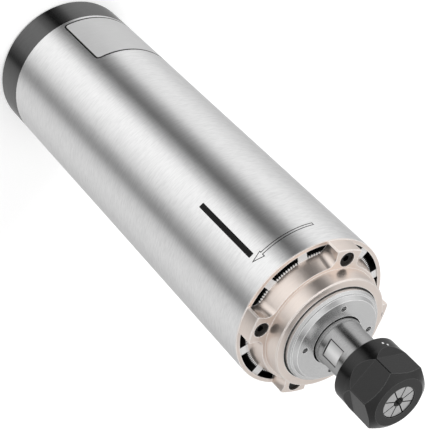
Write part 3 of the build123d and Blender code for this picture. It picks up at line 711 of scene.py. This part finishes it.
# %% [markdown]
# Where the drawings lie: compass directions in degrees, heights and sizes in mm. They stand proud
# by hundredths of a millimetre at most, as foil and ink do.

# %% Plate and bar
PLATE_TURN = (-174.0, -101.0)
PLATE_HEIGHT = (20.2, 59.3)
PLATE_CORNER = 2.6
PLATE_LINE = 1.0
FOIL_TOP = 0.02
FOIL_LINE_TOP = 0.025
BAR_TURN = (-82.0, -78.0)
BAR_HEIGHT = (184.4, 226.5)
BAR_CORNER = 0.3
INK_TOP = 0.006
SLAB = 0.05

plate_loop = rounded_rectangle(*map(along, PLATE_TURN), *PLATE_HEIGHT, PLATE_CORNER)
bar_loop = rounded_rectangle(*map(along, BAR_TURN), *BAR_HEIGHT, BAR_CORNER, steps=2)
foil = bent_slab("foil_plate", [plate_loop], FOIL_TOP, SLAB)
foil_line = bent_slab("foil_plate_line", band(plate_loop, PLATE_LINE), FOIL_LINE_TOP, SLAB)
bar = bent_slab("shell_bar", [bar_loop], INK_TOP, SLAB)

# %% [markdown]
# The arrow shows which way the shaft turns. It is an outline only. The dots sit on the round
# collar of the nut, so they are bent to its radius and turn with it.

# %% Arrow and dots
ARROW_TIP = (-77.1, 229.4)
ARROW_BARB_TURN = -86.0
ARROW_BARBS = (227.6, 231.9)
ARROW_TAIL = (-127.0, 228.4)
ARROW_HALF_SHAFT = 0.9
ARROW_LINE = 0.4
COLLAR_RADIUS = 16.75
DOTS = ((-131.7, 287.2), (-137.3, 288.6))
DOT_RADIUS = 0.55
DOT_CORNER = 0.98 * DOT_RADIUS


def arrow_outline():
    tip, tail = along(ARROW_TIP[0]), along(ARROW_TAIL[0])
    barb = along(ARROW_BARB_TURN)
    low, high = ARROW_BARBS
    return [
        (tip, ARROW_TIP[1]),
        (barb, high),
        (barb, ARROW_TIP[1] + ARROW_HALF_SHAFT),
        (tail, ARROW_TAIL[1] + ARROW_HALF_SHAFT),
        (tail, ARROW_TAIL[1] - ARROW_HALF_SHAFT),
        (barb, ARROW_TIP[1] - ARROW_HALF_SHAFT),
        (barb, low),
    ]


def dot_loop(turn, height):
    s = along(turn, COLLAR_RADIUS)
    low, high = height - DOT_RADIUS, height + DOT_RADIUS
    return rounded_rectangle(s - DOT_RADIUS, s + DOT_RADIUS, low, high, DOT_CORNER)


arrow = bent_slab("turning_arrow", band(arrow_outline(), ARROW_LINE), INK_TOP, SLAB)
dots = bent_slab("nut_dots", [dot_loop(*dot) for dot in DOTS], INK_TOP, SLAB, radius=COLLAR_RADIUS)

# %% [markdown]
# The foil is a dull silver film, and the ink is a matt black that mirrors next to nothing. The dots are
# plain white. Every piece rides on the body that carries it.

# %% Finish of the plate and the prints
INK_GLOSS = 0.15
FOIL = metal(
    "plate_foil", grey(0.68), edge_highlight_colour=grey(0.8), roughness=0.5, metallic=0.35, lines=2.0,
    ring_tone=0.02,
)
PRINT_INK = plastic("print_ink", grey(0.008), grey(0.02), 0.5)
PRINT_INK.node_tree.nodes["Principled BSDF"].inputs["Specular IOR Level"].default_value = INK_GLOSS
# Plain white for the two small dots on the nut's collar.
WHITE_DOT_FINISH = plastic("white_dot_finish", grey(0.85), grey(0.95), 0.3)

for piece, finish, body, slot in (
    (foil, FOIL, "housing", "shell_steel"),
    (foil_line, PRINT_INK, "housing", "cap_black"),
    (bar, PRINT_INK, "housing", "cap_black"),
    (arrow, PRINT_INK, "housing", "cap_black"),
    (dots, WHITE_DOT_FINISH, "nut", "shell_steel"),
):
    dress(piece, finish)
    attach(piece, body)
    print(piece.name, "rides on", body)

# %% [markdown]
# ## Thin rim of the flange
# In front of the vents the real flange is only a thin rim, so that from the side one looks over it
# at the fins. The CAD piece is a little thicker there. A copy with the front of the rim set back
# stands for it: the vertices at that height move, and every face that ends on them follows. A CAD
# mesh is loose triangles, so the copy is merged first, and its shading is carried over.

# %% Set the rim back
CAD_RIM = 1.2
THIN_RIM = 0.5
LEVEL = 0.01


def merge(mesh):
    """Joins the loose triangles of a CAD mesh, and keeps the way that they are shaded."""
    kept = mesh.attributes.new("kept_normal", "FLOAT_VECTOR", "CORNER")
    kept.data.foreach_set("vector", [part for corner in mesh.corner_normals for part in corner.vector])
    shape = bmesh.new()
    shape.from_mesh(mesh)
    bmesh.ops.remove_doubles(shape, verts=shape.verts, dist=MERGE * MM)
    shape.to_mesh(mesh)
    shape.free()
    mesh.normals_split_custom_set([corner.vector for corner in mesh.attributes["kept_normal"].data])
    mesh.attributes.remove(mesh.attributes["kept_normal"])


def copy_of(node, suffix):
    copy = nodes[node].copy()
    copy.name = node + suffix
    copy.data = nodes[node].data.copy()
    bpy.context.scene.collection.objects.link(copy)
    return copy


def thin_rim():
    flange = copy_of("front_flange", "_thin_rim")
    merge(flange.data)
    moved = [vert for vert in flange.data.vertices if abs(vert.co.z / MM - SEAT - CAD_RIM) < LEVEL]
    for vert in moved:
        vert.co.z = (SEAT + THIN_RIM) * MM
    print("rim vertices set back:", len(moved), "of", len(flange.data.vertices))
    return flange


rim = thin_rim()
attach(rim, "housing")
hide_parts("front_flange")

# %% [markdown]
# ## Threads
# The nose and the power socket are threaded. A thread is one ridge that climbs round the axis, so
# Geometry Nodes can make it from a rule: a spiral line, and a small triangle swept along it. The
# triangle has a flat side outwards, so the crests are flat and narrow dark grooves show between
# them. That looks like a thread from a little way off, but a real one has its points outwards.

# %% Thread tree
SPIRAL_STEPS = 64
TRIANGLE_CORNERS = 3


def thread_sockets(tree):
    """Adds the named sizes and the finish as inputs, and returns each one's identifier."""
    kinds = dict.fromkeys(("Outer", "Form", "Pitch", "Low", "High"), "NodeSocketFloat")
    kinds["Finish"] = "NodeSocketMaterial"
    sockets = {}
    for name, kind in kinds.items():
        socket = tree.interface.new_socket(name, in_out="INPUT", socket_type=kind)
        sockets[name] = socket.identifier
    tree.interface.new_socket("Ridge", in_out="OUTPUT", socket_type="NodeSocketGeometry")
    return sockets


def thread_tree():
    tree = bpy.data.node_groups.new("climbing_ridge", "GeometryNodeTree")
    sockets = thread_sockets(tree)
    size = tree.nodes.new("NodeGroupInput").outputs
    climb = compute(tree, "SUBTRACT", size["High"], size["Low"])
    middle = compute(tree, "SUBTRACT", size["Outer"], size["Form"])
    spiral = put(tree, "GeometryNodeCurveSpiral", {
        "Resolution": SPIRAL_STEPS, "Rotations": compute(tree, "DIVIDE", climb, size["Pitch"]),
        "Start Radius": middle, "End Radius": middle, "Height": climb,
    })
    upright = put(tree, "GeometryNodeSetCurveNormal", {"Curve": spiral.outputs[0]}, mode="Z_UP")
    form = put(tree, "GeometryNodeCurvePrimitiveCircle", {
        "Resolution": TRIANGLE_CORNERS, "Radius": size["Form"],
    })
    ridge = put(tree, "GeometryNodeCurveToMesh", {
        "Curve": upright.outputs[0], "Profile Curve": form.outputs["Curve"], "Fill Caps": True,
    })
    lifted = put(tree, "GeometryNodeTransform", {
        "Geometry": ridge.outputs[0],
        "Translation": put(tree, "ShaderNodeCombineXYZ", {"Z": size["Low"]}).outputs[0],
    })
    real = put(tree, "GeometryNodeRealizeInstances", {"Geometry": lifted.outputs[0]})
    painted = put(tree, "GeometryNodeSetMaterial", {
        "Geometry": real.outputs[0], "Material": size["Finish"],
    })
    result = tree.nodes.new("NodeGroupOutput")
    tree.links.new(painted.outputs[0], result.inputs[0])
    return tree, sockets


THREAD_TREE, THREAD_SOCKETS = thread_tree()
print("inputs of the thread:", ", ".join(THREAD_SOCKETS))

# %% [markdown]
# The tree runs as a modifier on an empty mesh, and the result is kept as a plain mesh. The plain
# cylinder under the ridge is a copy of the CAD piece, turned down to the root of the thread, and
# the copy stands for it.

# %% Run the tree and turn the cylinder down
NEAR = 0.02
CHAMFER_ROOM = 0.6


def grown(name, tree, sockets, values):
    """Runs a tree on an empty mesh and keeps the result as a plain mesh."""
    seed = placed(name, bpy.data.meshes.new(name))
    modifier = seed.modifiers.new("rule", "NODES")
    modifier.node_group = tree
    for key, value in values.items():
        modifier[sockets[key]] = value
    evaluated = seed.evaluated_get(bpy.context.evaluated_depsgraph_get())
    mesh = bpy.data.meshes.new_from_object(evaluated)
    seed.modifiers.remove(modifier)
    seed.data = mesh
    return seed


def radius_of(vert):
    return math.hypot(vert.co.x, vert.co.y) / MM


def turned_down(node, outer, root):
    """A copy of a CAD piece whose cylinder of radius outer is turned down to root; sizes in mm."""
    copy = copy_of(node, "_turned")
    shape = bmesh.new()
    shape.from_mesh(copy.data)
    bmesh.ops.remove_doubles(shape, verts=shape.verts, dist=MERGE * MM)
    heights = [vert.co.z / MM for vert in shape.verts if abs(radius_of(vert) - outer) < NEAR]
    low, high = min(heights), max(heights)
    for vert in shape.verts:
        level = vert.co.z / MM
        if root < radius_of(vert) < outer + NEAR and low - CHAMFER_ROOM < level < high + CHAMFER_ROOM:
            share = root / radius_of(vert)
            vert.co.x, vert.co.y = vert.co.x * share, vert.co.y * share
    shape.to_mesh(copy.data)
    shape.free()
    return copy, low, high


print("room for a chamfer beside a thread, mm:", CHAMFER_ROOM)

# %% [markdown]
# The nose has an M25 thread with a pitch of 1.5 mm, and the barrel of the socket a fine one with
# 1 mm. A triangle with equal sides is 1.5 times as high as the radius of the circle round it. The
# crests lie 0.2 to 0.3 mm inside the CAD cylinder, and the inner corner of the ridge is sunk into
# the core, so that no gap shows between them.

# %% Cut the threads
SUNK = 0.1
TRIANGLE_HEIGHT = 1.5


def cut_thread(node, body, outer, root, pitch):
    core, low, high = turned_down(node, outer, root)
    form = (outer - root + SUNK) / TRIANGLE_HEIGHT
    ridge = grown(node + "_thread", THREAD_TREE, THREAD_SOCKETS, {
        "Outer": outer * MM, "Form": form * MM, "Pitch": pitch * MM,
        "Low": (low + pitch / 2) * MM, "High": (high - pitch / 2) * MM, "Finish": FINISHES[SLOT_OF[node]],
    })
    for piece in (core, ridge):
        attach(piece, body)
    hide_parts(node)
    radii = [radius_of(vert) for vert in ridge.data.vertices]
    print(node, "thread, mm: height", round(low, 2), round(high, 2), "radius", round(max(radii), 2))


cut_thread("spindle_shaft", "rotor", outer=12.45, root=11.6, pitch=1.5)
cut_thread("power_socket_shell", "housing", outer=8.0, root=7.4, pitch=1.0)

# %% [markdown]
# ## Light and background
# Turned metal shows its surroundings more than its own colour, so a catalogue photographer stands
# white boards and dark flags round it. Here they are in the world: mirror rays see a ring of boards
# and gaps, softly graded, while everything else sees plain white light.

# %% Ring of boards
# Each board or gap: compass direction in degrees, and how bright it is in a mirror
BOARDS = (
    (10, 0.75), (35, 0.65), (55, 0.5), (90, 0.6), (115, 0.8), (130, 0.5), (150, 0.55),
    (170, 0.75), (190, 0.9), (210, 0.8), (225, 0.15), (240, 0.0), (255, 0.55), (265, 0.95),
    (275, 1.0), (290, 0.95), (310, 0.75), (320, 0.4), (335, 0.05), (345, 0.6),
)


def level_at_north():
    """How bright the ring is at 0 degrees, between the last board and the first."""
    (first, first_level), (last, last_level) = BOARDS[0], BOARDS[-1]
    share = (360 - last) / (first + 360 - last)
    return last_level + (first_level - last_level) * share


def ring_of_boards(tree, x, y):
    """Grey level by compass direction, for rays that look level or down."""
    turns = compute(tree, "DIVIDE", compute(tree, "ARCTAN2", y, x), 2 * math.pi)
    share = compute(tree, "FRACT", compute(tree, "ADD", turns, 1.0))
    ramp = put(tree, "ShaderNodeValToRGB", {0: share})
    ramp.color_ramp.interpolation = "EASE"
    stops = ramp.color_ramp.elements
    stops.remove(stops[1])
    stops[0].position = 0.0
    stops[0].color = grey(level_at_north())
    for compass, level in BOARDS:
        stops.new(compass / 360).color = grey(level)
    stops.new(1.0).color = grey(level_at_north())
    return ramp.outputs[0]


print("boards and gaps in the ring:", len(BOARDS))

# %% [markdown]
# Rays that go up leave the ring and see a ceiling, which is brighter on one side. The camera sees
# pure white, and what lights the spindle from all round is a plain grey, so that a colour renders
# about as it is written.

# %% World
SKY_LEVEL = 0.55
RING_TOP, CEILING_START = 0.15, 0.75
BRIGHT_TURN = math.radians(200)
BRIGHT_SIDE = (math.cos(BRIGHT_TURN), math.sin(BRIGHT_TURN), 0.0)
SIDE_REACH = 0.8
CEILING_LEVELS = (0.45, 1.0)


def ceiling(tree, direction):
    side = put(tree, "ShaderNodeVectorMath", {0: direction, 1: BRIGHT_SIDE}, operation="DOT_PRODUCT")
    level = spread(tree, side.outputs["Value"], *CEILING_LEVELS, start=-SIDE_REACH, full=SIDE_REACH)
    return put(tree, "ShaderNodeCombineColor", {0: level, 1: level, 2: level}).outputs[0]


def studio_world():
    world = bpy.data.worlds.new("studio")
    world.use_nodes = True
    tree = world.node_tree
    tree.nodes.clear()
    direction = put(tree, "ShaderNodeTexCoord").outputs["Generated"]
    x, y, z = put(tree, "ShaderNodeSeparateXYZ", {0: direction}).outputs
    rise = spread(tree, z, start=RING_TOP, full=CEILING_START)
    mirrored = mixed(tree, rise, ring_of_boards(tree, x, y), ceiling(tree, direction))
    light = put(tree, "ShaderNodeLightPath")
    plain = mixed(tree, light.outputs["Is Camera Ray"], grey(SKY_LEVEL), grey(1.0))
    seen = mixed(tree, light.outputs["Is Glossy Ray"], plain, mirrored)
    background = put(tree, "ShaderNodeBackground", {"Color": seen, "Strength": 1.0})
    output = put(tree, "ShaderNodeOutputWorld")
    tree.links.new(background.outputs[0], output.inputs["Surface"])
    return world


bpy.context.scene.world = studio_world()
bpy.context.scene.view_settings.view_transform = "Standard"
print("world:", bpy.context.scene.world.name)

# %% [markdown]
# One large lamp high on the left gives shape, a weaker one from the right opens the shadows, and a
# third from behind lifts the far side. No mirror ray sees them, because the boards already make the
# streaks.

# %% Lamps
MIDDLE = (cad_box[0] + cad_box[1]) / 2


def area_lamp(name, place, size, watts):
    lamp = bpy.data.lights.new(name, "AREA")
    lamp.shape = "DISK"
    lamp.size = size
    lamp.energy = watts
    holder = placed(name, lamp)
    holder.visible_glossy = False
    turn = (Vector(place) - MIDDLE).to_track_quat("Z", "Y").to_matrix().to_4x4()
    holder.matrix_world = Matrix.Translation(place) @ turn


area_lamp("key_lamp", (-1.1, -0.9, 1.9), size=1.2, watts=22)
area_lamp("fill_lamp", (1.4, -0.6, 1.2), size=1.4, watts=9)
area_lamp("back_lamp", (0.3, 1.5, 1.3), size=1.2, watts=8)
print("lamps:", len(bpy.data.lights))

# %% [markdown]
# The floor is white paper. To the camera it also shines a little, which makes it pure white away
# from the spindle and still leaves the soft shadow at its foot. It lies a hair under the spindle,
# so that the two faces don't flicker through each other.

# %% Floor
FLOOR_DROP = 0.5 * MM
FLOOR_REACH = 4.0
FLOOR_SIDES = 64
PAPER_TONE = 0.8
PAPER_ROUGHNESS = 0.9
PAPER_LIFT = 0.35


def white_paper():
    paper, tree, shader = blank_material("paper")
    shader.inputs["Base Color"].default_value = grey(PAPER_TONE)
    shader.inputs["Roughness"].default_value = PAPER_ROUGHNESS
    shader.inputs["Specular IOR Level"].default_value = 0.0
    shader.inputs["Emission Color"].default_value = grey(1.0)
    light = put(tree, "ShaderNodeLightPath")
    lift = product(tree, light.outputs["Is Camera Ray"], PAPER_LIFT)
    feed(tree, shader.inputs["Emission Strength"], lift)
    return paper


def paper_floor():
    mesh = bpy.data.meshes.new("floor")
    shape = bmesh.new()
    bmesh.ops.create_circle(shape, cap_ends=True, segments=FLOOR_SIDES, radius=FLOOR_REACH)
    shape.to_mesh(mesh)
    shape.free()
    mesh.transform(Matrix.Translation((0, 0, -FLOOR_DROP)))
    mesh.materials.append(white_paper())
    floor = placed("floor", mesh)
    floor.visible_glossy = False
    return floor


paper_floor()
print("floor lies", FLOOR_DROP / MM, "mm under the spindle")
